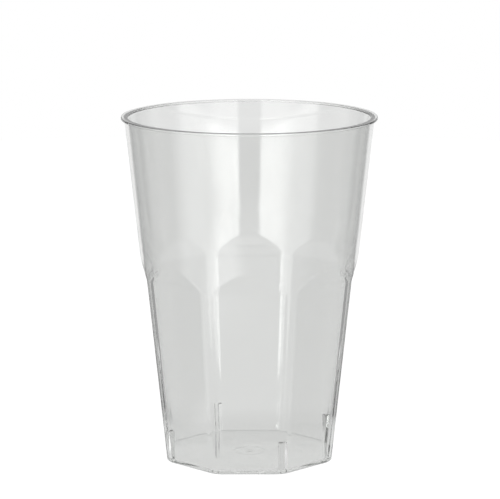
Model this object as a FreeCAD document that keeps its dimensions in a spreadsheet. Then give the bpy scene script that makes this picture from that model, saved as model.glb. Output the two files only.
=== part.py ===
# Clear drinking tumbler, injection moulded in one piece. The upper wall is a
# plain cone with a small rolled-out lip. The lower wall has flat facets whose
# tops end in a slanted shoulder, so that an arch closes each facet. Inside,
# short ribs in every second corner keep stacked tumblers apart, and the
# underside of the flat floor has the round gate mark of the mould.
# Lengths are in millimetres, +Z is the axis of the tumbler, and the origin is
# the middle of the face that it stands on. One facet looks along -Y.

import FreeCAD, Part
import os

import Sketcher

doc = FreeCAD.newDocument("tumbler")


# Driving sizes

sizes = doc.addObject("Spreadsheet::Sheet", "sizes")

DRIVING_SIZES = (
    ("height", 110, "from the standing face to the top of the rim"),
    ("cone_top_radius", 39.6, "outside of the wall at the height of the rim"),
    ("cone_base_radius", 27.85, "outside of the corners at the standing face"),
    ("wall_top", 1.1, "wall at the rim, measured level"),
    ("wall_base", 1.3, "wall at the standing face, measured level"),
    ("floor_thickness", 1.1, "from the standing face to the inside"),
    ("lip_overhang", 1.0, "how far the lip stands out from the wall"),
    ("lip_thickness", 0.8, "height of the lip"),
    ("lip_bevel", 0.25, "bevel on the edge of the lip, above and below"),
    ("lip_hollow", 0.4, "how far the slope under the lip runs out and down"),
    ("rim_bevel", 0.3, "bevel on the inner edge of the rim"),
    ("facet_count", 8, "flat facets around the lower wall"),
    ("facet_base_depth", 1.57, "facet inside the cone at the standing face"),
    ("facet_top_depth", 1.82, "facet inside the cone where the shoulder starts"),
    ("shoulder_start", 59.3, "height where a facet turns into its shoulder"),
    ("shoulder_end", 65.3, "height where the shoulder runs out in the cone"),
    ("facet_blend", 5, "rounding of the upright edges and of the arches, outside"),
    ("core_blend", 3.8, "rounding of the same edges on the inside"),
    ("foot_bevel", 0.5, "bevel around the standing face"),
    ("floor_bevel", 0.3, "bevel inside, between floor and wall"),
    ("rib_width", 2.0, "stacking rib, measured along the wall"),
    ("rib_depth", 1.0, "how far a rib stands in from its corner at the floor"),
    ("rib_height", 9.1, "top of the ribs above the floor"),
    ("gate_radius", 5.0, "round recess around the gate in the underside"),
    ("gate_recess", 0.3, "depth of that recess"),
    ("pip_radius", 1.0, "sprue mark in the middle of the recess"),
    ("pip_gap", 0.1, "the sprue mark ends this far above the table"),
)

for row, (alias, value, meaning) in enumerate(DRIVING_SIZES, start=1):
    sizes.set(f"A{row}", alias)
    sizes.set(f"B{row}", str(value))
    sizes.set(f"C{row}", meaning)
    sizes.setAlias(f"B{row}", alias)
doc.recompute()


# Lengths that follow from the driving sizes, as expressions. Outside and
# inside share them, so the wall keeps its thickness behind every facet.

def outer_cone(level):
    """Outside radius of the wall at a height, before the facets."""
    growth = "(sizes.cone_top_radius - sizes.cone_base_radius)"
    return f"(sizes.cone_base_radius + {growth} * {level} / sizes.height)"


def inner_cone(level):
    """Inside radius of the wall at a height, before the facets."""
    growth = "(sizes.wall_top - sizes.wall_base)"
    wall = f"(sizes.wall_base + {growth} * {level} / sizes.height)"
    return f"({outer_cone(level)} - {wall})"


LIP_RADIUS = "(sizes.cone_top_radius + sizes.lip_overhang)"
LIP_BOTTOM = "(sizes.height - sizes.lip_thickness)"
HOLLOW_BOTTOM = f"({LIP_BOTTOM} - sizes.lip_hollow)"
BEVEL_BOTTOM = "(sizes.height - sizes.rim_bevel)"
ABOVE_RIM = "(sizes.height + sizes.lip_thickness)"
RIB_TOP = "(sizes.floor_thickness + sizes.rib_height)"


# An outline is a sketch whose corners are tied to such expressions

AXES = -1
START = 1
END = 2


def origin_item(body, role):
    item = next(item for item in body.Origin.OriginFeatures if item.Role == role)
    return (item, [""])


def measure(expression):
    """Value of an expression, as the sheet has it now."""
    return float(sizes.evalExpression(expression))


def tie_corner(sketch, name, line, across, up):
    """Tie the start of a line to its distance from each axis."""
    ways = (("across", "DistanceX", across), ("up", "DistanceY", up))
    for suffix, direction, expression in ways:
        constraint = Sketcher.Constraint(direction, AXES, START, line, START, measure(expression))
        number = sketch.addConstraint(constraint)
        sketch.renameConstraint(number, f"{name}_{suffix}")
        sketch.setExpression(f"Constraints.{name}_{suffix}", expression)


def outline(body, name, plane, corners):
    """Sketch of a closed outline through corners (name, across, up)."""
    sketch = body.newObject("Sketcher::SketchObject", name)
    sketch.AttachmentSupport = origin_item(body, plane)
    sketch.MapMode = "FlatFace"
    spots = [FreeCAD.Vector(measure(across), measure(up), 0) for _, across, up in corners]
    for number, start in enumerate(spots):
        end = spots[(number + 1) % len(spots)]
        sketch.addGeometry(Part.LineSegment(start, end))
    for number, (corner, across, up) in enumerate(corners):
        before = (number - 1) % len(corners)
        sketch.addConstraint(Sketcher.Constraint("Coincident", before, END, number, START))
        tie_corner(sketch, corner, number, across, up)
    doc.recompute()
    if sketch.solve() != 0 or not sketch.FullyConstrained:
        raise RuntimeError(f"{name} is not fully defined")
    return sketch


# Features that both forms use. Each one says how it changed the volume, and a
# cut that takes nothing away stops the build.

def settle(body, feature, grows):
    """Recompute after a new feature and see that it did its work."""
    before = 0 if body.Shape.isNull() else body.Shape.Volume
    body.Tip = feature
    doc.recompute()
    change = feature.Shape.Volume - before
    print(f"{feature.Name}: {change:+.1f} mm3")
    if (change > 0) != grows:
        raise RuntimeError(f"{feature.Name} works the wrong way")
    return feature


def turned(body, kind, name, sketch):
    """Turn an outline once around the axis of the tumbler."""
    feature = body.newObject(f"PartDesign::{kind}", name)
    feature.Profile = sketch
    feature.ReferenceAxis = origin_item(body, "Z_Axis")
    feature.Angle = FULL_TURN
    return settle(body, feature, grows=kind == "Revolution")


def slice_across(body, name, sketch, width):
    """Cut an outline out of the body, half the width to each side of it."""
    feature = body.newObject("PartDesign::Pocket", name)
    feature.Profile = sketch
    feature.Type = "Length"
    feature.SideType = "Symmetric"
    feature.setExpression("Length", width)
    return settle(body, feature, grows=False)


def around_axis(body, name, feature, copies, step):
    """Repeat a cut around the axis of the tumbler, one step apart."""
    pattern = body.newObject("PartDesign::PolarPattern", name)
    pattern.Originals = [feature]
    pattern.Axis = origin_item(body, "Z_Axis")
    pattern.Mode = "Spacing"
    pattern.setExpression("Offset", step)
    pattern.setExpression("Occurrences", copies)
    return settle(body, pattern, grows=False)


def edges_between(shape, low, high):
    """Names of the edges whose ends lie between two heights."""
    names = []
    for number, edge in enumerate(shape.Edges, start=1):
        levels = [vertex.Point.z for vertex in edge.Vertexes]
        if min(levels) > low - TOUCH and max(levels) < high + TOUCH:
            names.append(f"Edge{number}")
    return names


def edges_above(shape, base, high):
    """The same from a base level upwards, without the edges of the base."""
    base_edges = edges_between(shape, base, base)
    return [edge for edge in edges_between(shape, base, high) if edge not in base_edges]


def dressed(body, kind, name, edges, measured, expression):
    """Round or bevel edges of the body as it is so far."""
    last = body.Tip
    feature = body.newObject(f"PartDesign::{kind}", name)
    feature.Base = (last, edges)
    feature.setExpression(measured, expression)
    return settle(body, feature, grows=False)


def rounded_facets(body, name, cone, base, radius):
    """Round the upright edges of the facets and their arches. The roundings
    leave the middle of each strip of cone between two facets as it is."""
    bend = f"acos(({cone('0')} - sizes.facet_base_depth) / {cone('0')})"
    half_strip = f"{cone('0')} * sin({FULL_TURN} / sizes.facet_count / 2 * 1 deg - {bend})"
    room = f"{STRIP_SHARE} * {half_strip} / tan({bend} / 2)"
    edges = edges_above(body.Shape, base, measure("sizes.shoulder_end"))
    return dressed(body, "Fillet", name, edges, "Radius", f"min({radius}; {room})")


def cut_facets(body, name, cone):
    """Cut the facets and their shoulders into a cone: one slice, repeated.
    The slice runs on past the cone, so that its shoulder ends in the open."""
    base = f"-({cone('0')} - sizes.facet_base_depth)"
    turn = f"-({cone('sizes.shoulder_start')} - sizes.facet_top_depth)"
    runout = f"-{cone('sizes.shoulder_end')}"
    beyond = f"{turn} + ({runout} - ({turn})) * {SHOULDER_REACH}"
    rise = "(sizes.shoulder_end - sizes.shoulder_start)"
    beyond_level = f"sizes.shoulder_start + {rise} * {SHOULDER_REACH}"
    corners = (
        ("facet_base", base, "0"),
        ("facet_top", turn, "sizes.shoulder_start"),
        ("shoulder_top", beyond, beyond_level),
        ("clear_base", beyond, "0"),
    )
    sketch = outline(body, f"{name}_outline", "YZ_Plane", corners)
    first = slice_across(body, f"{name}_first", sketch, "sizes.cone_top_radius * 2")
    return around_axis(body, name, first, "sizes.facet_count", f"{FULL_TURN} / sizes.facet_count")


FULL_TURN = 360
SHOULDER_REACH = 1.3
STRIP_SHARE = 0.8
TOUCH = 0.001


# Outside form: a cone with its lip, and the facets cut into it. The edges of
# the facets are rounded, the foot is bevelled and the gate is let in below.

outside = doc.addObject("PartDesign::Body", "outside_form")

outside_profile = outline(outside, "outside_profile", "XZ_Plane", (
    ("middle_base", "0", "0"),
    ("foot", outer_cone("0"), "0"),
    ("hollow_low", outer_cone(HOLLOW_BOTTOM), HOLLOW_BOTTOM),
    ("hollow_high", f"{outer_cone(LIP_BOTTOM)} + sizes.lip_hollow", LIP_BOTTOM),
    ("lip_low", f"{LIP_RADIUS} - sizes.lip_bevel", LIP_BOTTOM),
    ("edge_low", LIP_RADIUS, f"{LIP_BOTTOM} + sizes.lip_bevel"),
    ("edge_high", LIP_RADIUS, "sizes.height - sizes.lip_bevel"),
    ("lip_high", f"{LIP_RADIUS} - sizes.lip_bevel", "sizes.height"),
    ("middle_top", "0", "sizes.height"),
))
turned(outside, "Revolution", "outside_cone", outside_profile)
cut_facets(outside, "outside_facets", outer_cone)

rounded_facets(outside, "facet_blends", outer_cone, 0, "sizes.facet_blend")
base_edges = edges_between(outside.Shape, 0, 0)
dressed(outside, "Chamfer", "foot_bevels", base_edges, "Size", "sizes.foot_bevel")

gate_profile = outline(outside, "gate_profile", "XZ_Plane", (
    ("pip_middle", "0", "sizes.pip_gap"),
    ("pip_low", "sizes.pip_radius", "sizes.pip_gap"),
    ("pip_root", "sizes.pip_radius", "sizes.gate_recess"),
    ("recess_high", "sizes.gate_radius", "sizes.gate_recess"),
    ("recess_low", "sizes.gate_radius", "0"),
    ("recess_middle", "0", "0"),
))
turned(outside, "Groove", "gate_mark", gate_profile)


# Inside form: the hollow of the tumbler as a solid, with the same facets one
# wall further in, a mouth that bevels the rim, and a notch for each rib

inside = doc.addObject("PartDesign::Body", "inside_form")

MOUTH_RADIUS = f"({inner_cone('sizes.height')} + sizes.rim_bevel)"

inside_profile = outline(inside, "inside_profile", "XZ_Plane", (
    ("middle_floor", "0", "sizes.floor_thickness"),
    ("floor_edge", inner_cone("sizes.floor_thickness"), "sizes.floor_thickness"),
    ("bevel_low", inner_cone(BEVEL_BOTTOM), BEVEL_BOTTOM),
    ("bevel_high", MOUTH_RADIUS, "sizes.height"),
    ("mouth", MOUTH_RADIUS, ABOVE_RIM),
    ("middle_mouth", "0", ABOVE_RIM),
))
turned(inside, "Revolution", "inside_cone", inside_profile)
cut_facets(inside, "inside_facets", inner_cone)

floor_level = measure("sizes.floor_thickness")
rounded_facets(inside, "core_blends", inner_cone, floor_level, "sizes.core_blend")
floor_edges = edges_between(inside.Shape, floor_level, floor_level)
dressed(inside, "Chamfer", "floor_bevels", floor_edges, "Size", "sizes.floor_bevel")

RIB_FACE = f"({inner_cone('sizes.floor_thickness')} - sizes.rib_depth)"

rib_outline = outline(inside, "rib_outline", "YZ_Plane", (
    ("face_base", f"-{RIB_FACE}", "0"),
    ("face_top", f"-{RIB_FACE}", RIB_TOP),
    ("wall_top", f"-{outer_cone(RIB_TOP)}", RIB_TOP),
    ("wall_base", f"-{outer_cone(RIB_TOP)}", "0"),
))
rib_outline.AttachmentOffset = FreeCAD.Placement(
    FreeCAD.Vector(0, 0, 0), FreeCAD.Rotation(FreeCAD.Vector(0, 1, 0), 1)
)
half_step = f"{FULL_TURN} / sizes.facet_count / 2"
rib_outline.setExpression("AttachmentOffset.Rotation.Angle", half_step)
first_rib = slice_across(inside, "first_rib_notch", rib_outline, "sizes.rib_width")
every_second = "floor(sizes.facet_count / 2)"
second_step = f"2 * {FULL_TURN} / sizes.facet_count"
around_axis(inside, "rib_notches", first_rib, every_second, second_step)


# The tumbler is what the mould leaves between the two forms

tumbler = doc.addObject("Part::Cut", "tumbler")
tumbler.Label = "tumbler"
tumbler.Base = outside
tumbler.Tool = inside
doc.recompute()


# Check every object, then write the piece

PIECES = (tumbler,)

for item in doc.Objects:
    if "Invalid" in item.State or "Error" in item.State:
        raise RuntimeError(f"{item.Name} failed: {item.State}")

os.makedirs("parts", exist_ok=True)
for piece in PIECES:
    shape = piece.Shape
    if shape.isNull() or not shape.isValid() or len(shape.Solids) != 1:
        raise RuntimeError(f"{piece.Label} is not one sound solid")
    box = shape.optimalBoundingBox()
    extent = f"{box.XLength:.2f} x {box.YLength:.2f} x {box.ZLength:.2f} mm"
    print(f"{piece.Label}: {extent}, {shape.Volume / 1000:.2f} cm3")
    shape.exportStep(os.path.join("parts", f"{piece.Label}.step"))
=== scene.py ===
import math

import bpy
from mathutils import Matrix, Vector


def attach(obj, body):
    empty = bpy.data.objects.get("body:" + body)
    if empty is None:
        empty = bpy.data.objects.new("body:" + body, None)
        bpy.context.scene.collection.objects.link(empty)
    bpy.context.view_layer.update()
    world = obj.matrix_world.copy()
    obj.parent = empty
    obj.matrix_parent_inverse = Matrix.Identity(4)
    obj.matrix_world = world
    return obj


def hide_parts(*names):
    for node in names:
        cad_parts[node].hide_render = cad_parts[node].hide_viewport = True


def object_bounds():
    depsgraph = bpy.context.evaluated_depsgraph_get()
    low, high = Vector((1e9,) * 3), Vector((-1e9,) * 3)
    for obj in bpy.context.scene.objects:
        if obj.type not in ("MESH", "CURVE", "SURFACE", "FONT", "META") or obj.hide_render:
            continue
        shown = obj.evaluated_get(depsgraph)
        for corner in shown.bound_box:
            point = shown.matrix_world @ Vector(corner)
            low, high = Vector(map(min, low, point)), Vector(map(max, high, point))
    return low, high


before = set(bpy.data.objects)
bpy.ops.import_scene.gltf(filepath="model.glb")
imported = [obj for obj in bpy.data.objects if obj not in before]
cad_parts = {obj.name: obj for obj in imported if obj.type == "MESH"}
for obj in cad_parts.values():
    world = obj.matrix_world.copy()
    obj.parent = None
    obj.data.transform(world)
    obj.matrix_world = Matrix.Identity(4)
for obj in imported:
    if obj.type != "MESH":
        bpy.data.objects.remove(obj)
cad_low, cad_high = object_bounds()


# The tumbler is one piece of clear polystyrene, injection moulded between a
# cavity and a core, which open along its axis. Flat facets with arched tops
# ring the lower wall, and the core leaves a rib in every second inside corner.
# Lengths in this section are in millimetres.

MM = 0.001
OUTSIDE = 0
INSIDE = 1
height = cad_high.z / MM
lip_radius = cad_high.x / MM
lip_overhang = 1.0
cone_top = lip_radius - lip_overhang
cone_base = 27.85
wall_top = 1.1
wall_base = 1.3
floor_thickness = 1.1

facet_count = 8
facet_step = 360 / facet_count
corner_angle = facet_step / 2
facet_base_depth = 1.57
facet_top_depth = 1.82
shoulder_start = 59.3
shoulder_end = 65.3
edge_radius = (5.0, 3.8)
arch_foot = 2.5


def wall(level):
    """Thickness of the wall, measured level."""
    return wall_base + (wall_top - wall_base) * level / height


def cone(level, side=OUTSIDE):
    """Radius of one side of the wall before the facets."""
    return cone_base + (cone_top - cone_base) * level / height - side * wall(level)


def facet(level, side):
    """Distance of a facet from the axis."""
    growth = (facet_top_depth - facet_base_depth) * level / shoulder_start
    return cone(level, side) - facet_base_depth - growth


def shoulder(level, side):
    """Distance of the slanted shoulder over a facet from the axis."""
    start = facet(shoulder_start, side)
    share = (level - shoulder_start) / (shoulder_end - shoulder_start)
    return start + (cone(shoulder_end, side) - start) * share


def soft_low(first, second, softness):
    """The lower of two radii, rounded where they meet."""
    share = max(softness - abs(first - second), 0) / softness
    return min(first, second) - share * share * softness / 4


def skin(turn, level, side):
    """Radius of one side of the wall, seen turn degrees from a facet's middle."""
    lean = math.cos(math.radians(turn))
    level_softness = edge_radius[side] * SHOULDER_BEND ** 2 / 2
    upright_softness = edge_radius[side] * CORNER_BEND ** 2 / 2
    flat = -soft_low(-facet(level, side), -shoulder(level, side), level_softness) / lean
    return soft_low(flat, cone(level, side), upright_softness)


def arch(turn, side):
    """Height at which the shoulder runs out in the cone."""
    lean = math.cos(math.radians(turn))
    run = shoulder_end - shoulder_start
    shoulder_slope = (cone(shoulder_end, side) - facet(shoulder_start, side)) / run
    cone_slope = (cone(shoulder_end, side) - cone(shoulder_start, side)) / run
    gap = lean * cone(shoulder_start, side) - facet(shoulder_start, side)
    return shoulder_start + max(gap / (shoulder_slope - lean * cone_slope), arch_foot)


# How steeply two faces part, as rise over run: at an upright edge of a facet,
# and above and below a shoulder.
CORNER_BEND = math.tan(math.acos(facet(0, OUTSIDE) / cone(0)))
SHOULDER_BEND = (shoulder(shoulder_end, OUTSIDE) - facet(shoulder_end, OUTSIDE)) / (
    shoulder_end - shoulder_start
)


# The mould's two faces are drawn as rows of points, which climb the outside,
# turn over the rim and come down the inside to the floor. The points of a row
# crowd at the corners, where the ribs stand, and are even in the round wall.

rib_half_width = 1.0
rib_draft = 0.04
rib_depth = 1.0
rib_height = 9.1
rib_top = floor_thickness + rib_height
rib_face = cone(floor_thickness, INSIDE) - rib_depth
crowd = (
    0, 0.5, rib_half_width - rib_draft, rib_half_width + rib_draft,
    1.35, 1.65, 1.95, 2.25, 2.55, 2.9, 3.3, 4.0,
)
facet_spans = 6
even_from = 67.5
even_to = 74.0
BAND = (-1.4, -1.0, -0.6, -0.2, 0.2, 0.6, 1.0, 1.4)
BETWEEN_BANDS = (0.33, 0.67)
OVER_THE_ARCH = (0.5, 1.0)
band_reach = 0.76


def turns(level):
    """Angles of a row's points, from a facet's middle to its corner."""
    from_corner = [math.degrees(math.asin(aside / cone(min(level, shoulder_end)))) for aside in crowd]
    plain = corner_angle - from_corner[-1]
    row = [plain * number / facet_spans for number in range(facet_spans)]
    row += [corner_angle - angle for angle in reversed(from_corner)]
    evenness = min(max((level - even_from) / (even_to - even_from), 0), 1)
    even = [corner_angle * number / (len(row) - 1) for number in range(len(row))]
    return [turn + (goal - turn) * evenness for turn, goal in zip(row, even)]


def ring(radius, level):
    """Row that is a plain circle."""
    return (level, lambda turn: (radius, level), False)


def contour(level, side=OUTSIDE, pull=0, ribbed=False):
    """Row at one height of the wall, pulled in where an edge is round."""
    return (level, lambda turn: (skin(turn, level, side) - pull, level), ribbed)


def along_the_arch(side, start, end, share):
    """Row between two lines, which are given as heights for each angle."""
    def place(turn):
        level = start(turn) + (end(turn) - start(turn)) * share
        return (skin(turn, level, side), level)
    return (shoulder_start, place, False)


def shoulder_rows(side):
    """Rows from just under the shoulders to just over their arches."""
    reach = band_reach * BAND[-1]
    rows = [contour(shoulder_start + share * band_reach, side) for share in BAND]

    def over_the_turn(turn):
        return shoulder_start + reach

    def under_the_arch(turn):
        return arch(turn, side) - reach

    def over_the_arch(turn):
        return arch(turn, side) + reach

    def end(turn):
        return even_from

    rows += [along_the_arch(side, over_the_turn, under_the_arch, share) for share in BETWEEN_BANDS]
    steps = [(share + BAND[-1]) / (2 * BAND[-1]) for share in BAND]
    rows += [along_the_arch(side, under_the_arch, over_the_arch, share) for share in steps]
    rows += [along_the_arch(side, over_the_arch, end, share) for share in OVER_THE_ARCH]
    return rows


def arc(middle_radius, middle_level, radius, start, end, steps):
    """Circles along a round edge, angles from outwards to upwards."""
    rows = []
    for number in range(steps + 1):
        angle = math.radians(start + (end - start) * number / steps)
        across = middle_radius + radius * math.cos(angle)
        rows.append(ring(across, middle_level + radius * math.sin(angle)))
    return rows


def round_foot(level, side, radius, angles):
    """Rows of a round edge between the wall and a level face at its foot."""
    rows = []
    for angle in angles:
        lift = radius * (1 - math.cos(math.radians(angle)))
        pull = radius * (1 - math.sin(math.radians(angle)))
        rows.append(contour(level + lift, side, pull, side == INSIDE))
    return rows


foot_round = 0.5
floor_round = 0.35
lip_thickness = 0.8
lip_round = 0.25
lip_hollow = 0.2
rim_round = 0.2
gate_radius = 5.0
gate_recess = 0.3
pip_radius = 1.0
pip_gap = 0.1
underside_share = 0.6
FOOT_ANGLES = (0, 15, 30, 45, 60, 75, 86)
LOWER_WALL = (2, 8, 16, 24, 32, 40, 48, 54, 57)
UPPER_WALL = (69, 71, 74, 80, 86, 92, 98, 104)
RIBBED_LEVELS = (rib_top, 8, 5, 2.5)
FLOOR_ANGLES = (86, 70, 50, 30, 15, 0)
FLOOR_SHARES = (0.75, 0.4, 0.1)
hollow_steps = 5
edge_steps = 6

rows = [ring(pip_radius, pip_gap), ring(pip_radius, gate_recess)]
rows += [ring(gate_radius, gate_recess), ring(gate_radius, 0)]
rows += [ring(cone_base * underside_share, 0)]
rows += round_foot(0, OUTSIDE, foot_round, FOOT_ANGLES)
rows += [contour(level) for level in LOWER_WALL]
rows += shoulder_rows(OUTSIDE)
rows += [contour(level) for level in UPPER_WALL]

lip_bottom = height - lip_thickness
mouth_radius = cone(height, INSIDE)
hollow_middle = cone(lip_bottom) + lip_hollow
rows += arc(hollow_middle, lip_bottom - lip_hollow, lip_hollow, 180, 90, hollow_steps)
rows += arc(lip_radius - lip_round, lip_bottom + lip_round, lip_round, -90, 0, edge_steps)
rows += arc(lip_radius - lip_round, height - lip_round, lip_round, 0, 90, edge_steps)
rows += arc(mouth_radius + rim_round, height - rim_round, rim_round, 90, 180, hollow_steps)

rows += [contour(level, INSIDE) for level in reversed(UPPER_WALL)]
rows += reversed(shoulder_rows(INSIDE))
rows += [contour(level, INSIDE) for level in reversed(LOWER_WALL[2:])]
rows += [contour(rib_top + rib_draft, INSIDE)]
rows += [contour(level, INSIDE, 0, True) for level in RIBBED_LEVELS]
rows += round_foot(floor_thickness, INSIDE, floor_round, FLOOR_ANGLES)
rows += [ring(cone_base * share, floor_thickness) for share in FLOOR_SHARES]


def quarter_of_the_mould():
    """Mesh of one quarter, from the middle of a facet to the next but one."""
    points = [(0, 0, pip_gap * MM)]
    for level, place, ribbed in rows:
        climb = turns(level)
        back = [(facet_step - turn, turn) for turn in reversed(climb[:-1])]
        one_facet = list(zip(climb, climb)) + back
        two_facets = one_facet + [(facet_step + around, turn) for around, turn in one_facet[1:]]
        for around, turn in two_facets:
            radius, up = place(turn)
            aside = math.radians(around - corner_angle)
            if ribbed and abs(rib_face * math.sin(aside)) < rib_half_width:
                radius = min(radius, rib_face / math.cos(aside))
            angle = math.radians(around)
            points.append((radius * math.sin(angle) * MM, -radius * math.cos(angle) * MM, up * MM))
    points.append((0, 0, floor_thickness * MM))

    wide = len(two_facets)
    last_row = 1 + (len(rows) - 1) * wide
    faces = []
    for column in range(wide - 1):
        faces.append((0, column + 2, column + 1))
        for low in range(1 + column, last_row + column, wide):
            faces.append((low, low + 1, low + wide + 1, low + wide))
        faces.append((last_row + column, last_row + column + 1, len(points) - 1))
    mesh = bpy.data.meshes.new("mould_quarter")
    mesh.from_pydata(points, [], faces)
    return mesh


tint = (0.868, 0.873, 0.866, 1)
bend_of_light = 1.59
depth_tint = (0.900, 0.904, 0.900, 1)
depth_density = 40
flow_lengthwise = 0.3
flow_scale = 90
flow_strength = 0.1
flow_height = 0.0002
touch_scale = 300
polish_best = 0.012
polish_worst = 0.035


def clear_polystyrene():
    """Colourless, polished, and very slightly uneven from the flow in the mould."""
    material = bpy.data.materials.new("clear polystyrene")
    material.use_nodes = True
    nodes = material.node_tree.nodes
    links = material.node_tree.links
    plastic = nodes["Principled BSDF"]
    plastic.inputs["Base Color"].default_value = tint
    plastic.inputs["IOR"].default_value = bend_of_light
    plastic.inputs["Transmission Weight"].default_value = 1.0
    depth = nodes.new("ShaderNodeVolumeAbsorption")
    depth.inputs["Color"].default_value = depth_tint
    depth.inputs["Density"].default_value = depth_density
    links.new(depth.outputs["Volume"], nodes["Material Output"].inputs["Volume"])

    place = nodes.new("ShaderNodeTexCoord")
    stretch = nodes.new("ShaderNodeMapping")
    stretch.inputs["Scale"].default_value = (1, 1, flow_lengthwise)
    links.new(place.outputs["Object"], stretch.inputs["Vector"])

    flow = nodes.new("ShaderNodeTexNoise")
    flow.inputs["Scale"].default_value = flow_scale
    flow.inputs["Detail"].default_value = 1
    links.new(stretch.outputs["Vector"], flow.inputs["Vector"])
    wave = nodes.new("ShaderNodeBump")
    wave.inputs["Strength"].default_value = flow_strength
    wave.inputs["Distance"].default_value = flow_height
    links.new(flow.outputs["Fac"], wave.inputs["Height"])
    links.new(wave.outputs["Normal"], plastic.inputs["Normal"])

    touch = nodes.new("ShaderNodeTexNoise")
    touch.inputs["Scale"].default_value = touch_scale
    links.new(place.outputs["Object"], touch.inputs["Vector"])
    polish = nodes.new("ShaderNodeMapRange")
    polish.inputs["To Min"].default_value = polish_best
    polish.inputs["To Max"].default_value = polish_worst
    links.new(touch.outputs["Fac"], polish.inputs["Value"])
    links.new(polish.outputs["Result"], plastic.inputs["Roughness"])
    return material


def round_the_axis():
    """Tree that repeats the quarter round the axis and joins it into one skin."""
    tree = bpy.data.node_groups.new("round the axis", "GeometryNodeTree")
    sockets = tree.interface
    sockets.new_socket("Quarter", in_out="INPUT", socket_type="NodeSocketGeometry")
    sockets.new_socket("Copies", in_out="INPUT", socket_type="NodeSocketInt")
    sockets.new_socket("Seam Width", in_out="INPUT", socket_type="NodeSocketFloat")
    sockets.new_socket("Sharp Above", in_out="INPUT", socket_type="NodeSocketFloat")
    sockets.new_socket("Plastic", in_out="INPUT", socket_type="NodeSocketMaterial")
    sockets.new_socket("Skin", in_out="OUTPUT", socket_type="NodeSocketGeometry")
    nodes = tree.nodes
    links = tree.links
    given = nodes.new("NodeGroupInput")
    result = nodes.new("NodeGroupOutput")

    middles = nodes.new("GeometryNodePoints")
    links.new(given.outputs["Copies"], middles.inputs["Count"])
    number = nodes.new("GeometryNodeInputIndex")
    step = nodes.new("ShaderNodeMath")
    step.operation = "DIVIDE"
    step.inputs[0].default_value = math.tau
    links.new(given.outputs["Copies"], step.inputs[1])
    angle = nodes.new("ShaderNodeMath")
    angle.operation = "MULTIPLY"
    links.new(number.outputs["Index"], angle.inputs[0])
    links.new(step.outputs["Value"], angle.inputs[1])
    spin = nodes.new("ShaderNodeCombineXYZ")
    links.new(angle.outputs["Value"], spin.inputs["Z"])
    copies = nodes.new("GeometryNodeInstanceOnPoints")
    links.new(middles.outputs["Points"], copies.inputs["Points"])
    links.new(given.outputs["Quarter"], copies.inputs["Instance"])
    links.new(spin.outputs["Vector"], copies.inputs["Rotation"])

    real = nodes.new("GeometryNodeRealizeInstances")
    links.new(copies.outputs["Instances"], real.inputs["Geometry"])
    joined = nodes.new("GeometryNodeMergeByDistance")
    links.new(real.outputs["Geometry"], joined.inputs["Geometry"])
    links.new(given.outputs["Seam Width"], joined.inputs["Distance"])
    smooth = nodes.new("GeometryNodeSetShadeSmooth")
    links.new(joined.outputs["Geometry"], smooth.inputs["Geometry"])
    bend = nodes.new("GeometryNodeInputMeshEdgeAngle")
    tight = nodes.new("FunctionNodeCompare")
    tight.operation = "GREATER_THAN"
    links.new(bend.outputs["Unsigned Angle"], tight.inputs["A"])
    links.new(given.outputs["Sharp Above"], tight.inputs["B"])
    crisp = nodes.new("GeometryNodeSetShadeSmooth")
    crisp.domain = "EDGE"
    crisp.inputs["Shade Smooth"].default_value = False
    links.new(smooth.outputs["Geometry"], crisp.inputs["Geometry"])
    links.new(tight.outputs["Result"], crisp.inputs["Selection"])
    dressed = nodes.new("GeometryNodeSetMaterial")
    links.new(crisp.outputs["Geometry"], dressed.inputs["Geometry"])
    links.new(given.outputs["Plastic"], dressed.inputs["Material"])
    links.new(dressed.outputs["Geometry"], result.inputs["Skin"])
    return tree


def moulded(draft, settings):
    """Plain mesh of an object's tree, its even faces ruling the gloss."""
    tree = round_the_axis()
    repeat = draft.modifiers.new("round the axis", "NODES")
    repeat.node_group = tree
    for item in tree.interface.items_tree:
        if item.name in settings:
            repeat[item.identifier] = settings[item.name]
    even = draft.modifiers.new("even gloss", "WEIGHTED_NORMAL")
    even.keep_sharp = True
    bpy.context.view_layer.update()
    ready = draft.evaluated_get(bpy.context.evaluated_depsgraph_get())
    mesh = bpy.data.meshes.new_from_object(ready)
    draft.modifiers.clear()
    return mesh


quarters = 4
seam_width = 0.000001
sharp_above = 35
tumbler = bpy.data.objects.new("clear_tumbler", quarter_of_the_mould())
bpy.context.scene.collection.objects.link(tumbler)
tumbler.data = moulded(tumbler, {
    "Copies": quarters,
    "Seam Width": seam_width,
    "Sharp Above": math.radians(sharp_above),
    "Plastic": clear_polystyrene(),
})
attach(tumbler, "root")
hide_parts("tumbler")


# The table is a round white board whose glow carries painted light and shade. Its glow is
# painted evenly bright in front of the tumbler and behind it, and painted into shade at its
# sides, as if from flags. A painted pool of light lies on it in front, at the left.

table_radius = 0.65
table_shift = 0.05
table_drop = 0.00002
table_sides = 64
table_rim = []
for number in range(table_sides):
    angle = math.tau * number / table_sides
    across = table_radius * math.cos(angle)
    table_rim.append((across, table_shift + table_radius * math.sin(angle), 0))
table_mesh = bpy.data.meshes.new("table")
table_mesh.from_pydata(table_rim, [], [tuple(range(table_sides))])
table = bpy.data.objects.new("table", table_mesh)
table.location.z = -table_drop
bpy.context.scene.collection.objects.link(table)


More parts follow.
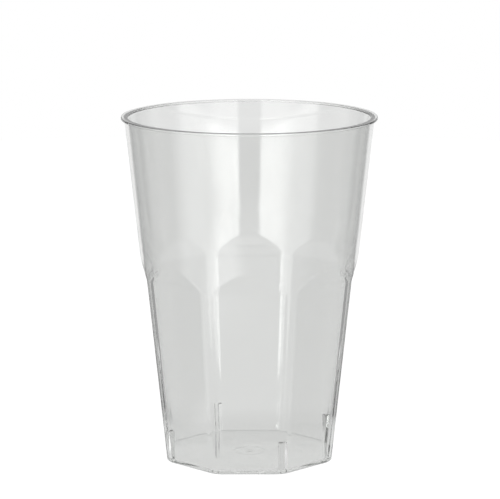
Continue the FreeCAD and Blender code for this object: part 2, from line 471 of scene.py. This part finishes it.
def light_by_azimuth(material, brightest, stops):
    """Brightness by azimuth in degrees, from the camera towards its right."""
    nodes = material.node_tree.nodes
    links = material.node_tree.links
    where = nodes.new("ShaderNodeTexCoord")
    from_camera = nodes.new("ShaderNodeMapping")
    from_camera.inputs["Rotation"].default_value = (0, 0, math.radians(90))
    all_round = nodes.new("ShaderNodeTexGradient")
    all_round.gradient_type = "RADIAL"
    profile = nodes.new("ShaderNodeValToRGB")
    profile.color_ramp.interpolation = "EASE"
    marks = profile.color_ramp.elements
    for number, (azimuth, brightness) in enumerate(stops):
        position = 0.5 + azimuth / 360
        mark = marks[number] if number < 2 else marks.new(position)
        mark.position = position
        grey = brightness / brightest
        mark.color = (grey, grey, grey, 1)
    links.new(where.outputs["Object"], from_camera.inputs["Vector"])
    links.new(from_camera.outputs["Vector"], all_round.inputs["Vector"])
    links.new(all_round.outputs["Fac"], profile.inputs["Fac"])
    return profile.outputs["Color"]


# Painted light and shade on the board by azimuth: even in front and behind, painted shade at the
# sides, a brighter painted patch at the front left.
TABLE_PAINTED_LIGHT_STOPS = (
    (-180, 0.86), (-150, 0.86), (-141, 0.3), (-119, 0.3), (-108, 0.56), (-78, 0.56),
    (-64, 1.25), (-46, 1.25), (-36, 0.92), (50, 0.92), (70, 0.56), (108, 0.56),
    (119, 0.3), (141, 0.3), (150, 0.86), (180, 0.86),
)
table_strength = 1.5
# Painted shade: the board glows a little dimmer under the tumbler.
painted_shade_under_tumbler = 0.8
painted_shade_inner_reach = 0.045
painted_shade_outer_reach = 0.06
paper_white = 1.02
# A painted pool of light: the board glows brighter round this spot, in front of the tumbler at the
# left.
painted_pool_middle = (-0.075, -0.165, 0)
painted_pool_light = 2.0
painted_pool_core = 0.02
painted_pool_edge = 0.085

board_grey = 0.04

# The board's own colour is near black; its glow carries the painted light and shade.
painted_light_board = bpy.data.materials.new("white board")
painted_light_board.use_nodes = True
board_nodes = painted_light_board.node_tree.nodes
board_links = painted_light_board.node_tree.links
board = board_nodes["Principled BSDF"]
board.inputs["Base Color"].default_value = (board_grey, board_grey, board_grey, 1)
board.inputs["Roughness"].default_value = 1.0
board.inputs["Specular IOR Level"].default_value = 0.0
board.inputs["Emission Strength"].default_value = table_strength
board_spot = board_nodes.new("ShaderNodeTexCoord")
away = board_nodes.new("ShaderNodeVectorMath")
away.operation = "LENGTH"
board_links.new(board_spot.outputs["Object"], away.inputs[0])
# The painted shade under the tumbler gives way to the painted light by azimuth between the two
# reaches.
spread = board_nodes.new("ShaderNodeMapRange")
spread.inputs["From Min"].default_value = painted_shade_inner_reach
spread.inputs["From Max"].default_value = painted_shade_outer_reach
board_links.new(away.outputs["Value"], spread.inputs["Value"])
painted_light_and_shade = board_nodes.new("ShaderNodeMix")
painted_light_and_shade.data_type = "RGBA"
painted_light_and_shade.inputs["A"].default_value = (painted_shade_under_tumbler / table_strength,) * 3 + (1,)
board_links.new(spread.outputs["Result"], painted_light_and_shade.inputs["Factor"])
board_links.new(light_by_azimuth(painted_light_board, table_strength, TABLE_PAINTED_LIGHT_STOPS), painted_light_and_shade.inputs["B"])
# The painted pool of light fades out from its core to its edge.
from_painted_pool = board_nodes.new("ShaderNodeVectorMath")
from_painted_pool.operation = "DISTANCE"
from_painted_pool.inputs[1].default_value = painted_pool_middle
board_links.new(board_spot.outputs["Object"], from_painted_pool.inputs[0])
fade = board_nodes.new("ShaderNodeMapRange")
fade.interpolation_type = "SMOOTHSTEP"
fade.inputs["From Min"].default_value = painted_pool_edge
fade.inputs["From Max"].default_value = painted_pool_core
board_links.new(from_painted_pool.outputs["Value"], fade.inputs["Value"])
painted_pool_mix = board_nodes.new("ShaderNodeMix")
painted_pool_mix.data_type = "RGBA"
painted_pool_mix.inputs["B"].default_value = (painted_pool_light / table_strength,) * 3 + (1,)
board_links.new(fade.outputs["Result"], painted_pool_mix.inputs["Factor"])
board_links.new(painted_light_and_shade.outputs["Result"], painted_pool_mix.inputs["A"])

# Seen straight, the board is plain white paper. In the plastic it shows its painted light and shade.
direct = board_nodes.new("ShaderNodeLightPath")
plain = board_nodes.new("ShaderNodeMix")
plain.data_type = "RGBA"
plain.inputs["B"].default_value = (paper_white / table_strength,) * 3 + (1,)
board_links.new(direct.outputs["Is Camera Ray"], plain.inputs["Factor"])
board_links.new(painted_pool_mix.outputs["Result"], plain.inputs["A"])
board_links.new(plain.outputs["Result"], board.inputs["Emission Color"])
table_mesh.materials.append(painted_light_board)


# Studio: one curved screen stands round the table and gives the rest of the
# light. It is white behind the tumbler and dark at its flanks. It is brightest
# on each side of the camera, with a dark gap behind it, and grey higher up.

LOW_STOPS = (
    (-180, 0.93), (-150, 0.93), (-142, 0.3), (-118, 0.3), (-108, 0.55), (-80, 0.55),
    (-66, 1.9), (-52, 2.2), (-26, 5), (-14, 5), (-8, 0.93), (8, 0.93), (14, 4.2),
    (26, 4), (50, 1.8), (66, 1.6), (80, 0.55), (108, 0.55), (118, 0.3), (142, 0.3),
    (150, 0.93), (180, 0.93),
)
HIGH_STOPS = (
    (-180, 1), (-150, 1), (-144, 0.2), (-104, 0.2), (-101, 1.3), (-95, 1.3),
    (-90, 0.2), (-76, 0.2), (-66, 1.9), (-52, 2.3), (-28, 5), (-14, 5.2),
    (-9, 0.05), (9, 0.05), (13, 5.5), (26, 5.3), (50, 2.2), (66, 1.8),
    (80, 0.2), (144, 0.2), (150, 1), (180, 1),
)
screen_radius = 3.0
screen_bottom = -0.8
screen_top = 0.81
screen_sides = 180
screen_strength = 5.5
bright_from = 0.13
bright_to = 0.24
dim_from = 0.28
dim_to = 0.33
dim_share = 0.75
dim_grey = 0.67

screen_points = []
for number in range(screen_sides):
    angle = math.tau * number / screen_sides
    for level in (screen_bottom, screen_top):
        across = screen_radius * math.cos(angle)
        screen_points.append((across, screen_radius * math.sin(angle), level))
screen_faces = []
for number in range(screen_sides):
    low = 2 * number
    beside = 2 * ((number + 1) % screen_sides)
    screen_faces.append((low, low + 1, beside + 1, beside))
screen_mesh = bpy.data.meshes.new("curved screen")
screen_mesh.from_pydata(screen_points, [], screen_faces)
screen = bpy.data.objects.new("curved_screen", screen_mesh)
bpy.context.scene.collection.objects.link(screen)
screen.visible_camera = False

screen_light = bpy.data.materials.new("screen light")
screen_light.use_nodes = True
screen_nodes = screen_light.node_tree.nodes
screen_links = screen_light.node_tree.links
screen_nodes.clear()
spot = screen_nodes.new("ShaderNodeTexCoord")
parts = screen_nodes.new("ShaderNodeSeparateXYZ")
screen_links.new(spot.outputs["Object"], parts.inputs["Vector"])


def share_by_height(start, end, most):
    """Share that grows from nothing to the most between two heights."""
    climb = screen_nodes.new("ShaderNodeMapRange")
    climb.interpolation_type = "SMOOTHSTEP"
    climb.inputs["From Min"].default_value = start
    climb.inputs["From Max"].default_value = end
    climb.inputs["To Max"].default_value = most
    screen_links.new(parts.outputs["Z"], climb.inputs["Value"])
    return climb.outputs["Result"]


upwards = screen_nodes.new("ShaderNodeMix")
upwards.data_type = "RGBA"
screen_links.new(share_by_height(bright_from, bright_to, 1), upwards.inputs["Factor"])
screen_links.new(light_by_azimuth(screen_light, screen_strength, LOW_STOPS), upwards.inputs["A"])
screen_links.new(light_by_azimuth(screen_light, screen_strength, HIGH_STOPS), upwards.inputs["B"])
dimmed = screen_nodes.new("ShaderNodeMix")
dimmed.data_type = "RGBA"
dimmed.inputs["B"].default_value = (dim_grey / screen_strength,) * 3 + (1,)
screen_links.new(share_by_height(dim_from, dim_to, dim_share), dimmed.inputs["Factor"])
screen_links.new(upwards.outputs["Result"], dimmed.inputs["A"])
glow = screen_nodes.new("ShaderNodeEmission")
glow.inputs["Strength"].default_value = screen_strength
screen_links.new(dimmed.outputs["Result"], glow.inputs["Color"])
screen_surface = screen_nodes.new("ShaderNodeOutputMaterial")
screen_links.new(glow.outputs["Emission"], screen_surface.inputs["Surface"])
screen_mesh.materials.append(screen_light)

world = bpy.data.worlds.new("studio")
world.use_nodes = True
air = world.node_tree.nodes
air.clear()
seen = air.new("ShaderNodeLightPath")
room = air.new("ShaderNodeBackground")
room.inputs["Color"].default_value = (1.0, 1.0, 1.0, 1)
paper = air.new("ShaderNodeBackground")
paper.inputs["Color"].default_value = (1, 1, 1, 1)
either = air.new("ShaderNodeMixShader")
sky = air.new("ShaderNodeOutputWorld")
world.node_tree.links.new(seen.outputs["Is Camera Ray"], either.inputs["Fac"])
world.node_tree.links.new(room.outputs["Background"], either.inputs[1])
world.node_tree.links.new(paper.outputs["Background"], either.inputs[2])
world.node_tree.links.new(either.outputs["Shader"], sky.inputs["Surface"])
bpy.context.scene.world = world


# Camera: a long lens a little above the rim, looking down on the front facet.
# The picture is 500 by 499 pixels. Light crosses many faces of clear plastic
# before it leaves the wall's edges, so its paths are long.

lens = 186.64
camera_place = (0.00021, -0.81226, 0.22299)
camera_tilt = 10.873
light_bounces = 32

camera_data = bpy.data.cameras.new("camera")
camera_data.sensor_fit = "HORIZONTAL"
camera_data.sensor_width = 36
camera_data.lens = lens
camera_data.clip_end = 50
camera = bpy.data.objects.new("camera", camera_data)
camera.location = camera_place
camera.rotation_euler = (math.radians(90 - camera_tilt), 0, 0)
bpy.context.scene.collection.objects.link(camera)
bpy.context.scene.camera = camera
bpy.context.scene.view_settings.view_transform = "Standard"
bpy.context.scene.view_settings.look = "None"
light_paths = bpy.context.scene.cycles
light_paths.max_bounces = light_bounces
light_paths.glossy_bounces = light_bounces
light_paths.transmission_bounces = light_bounces
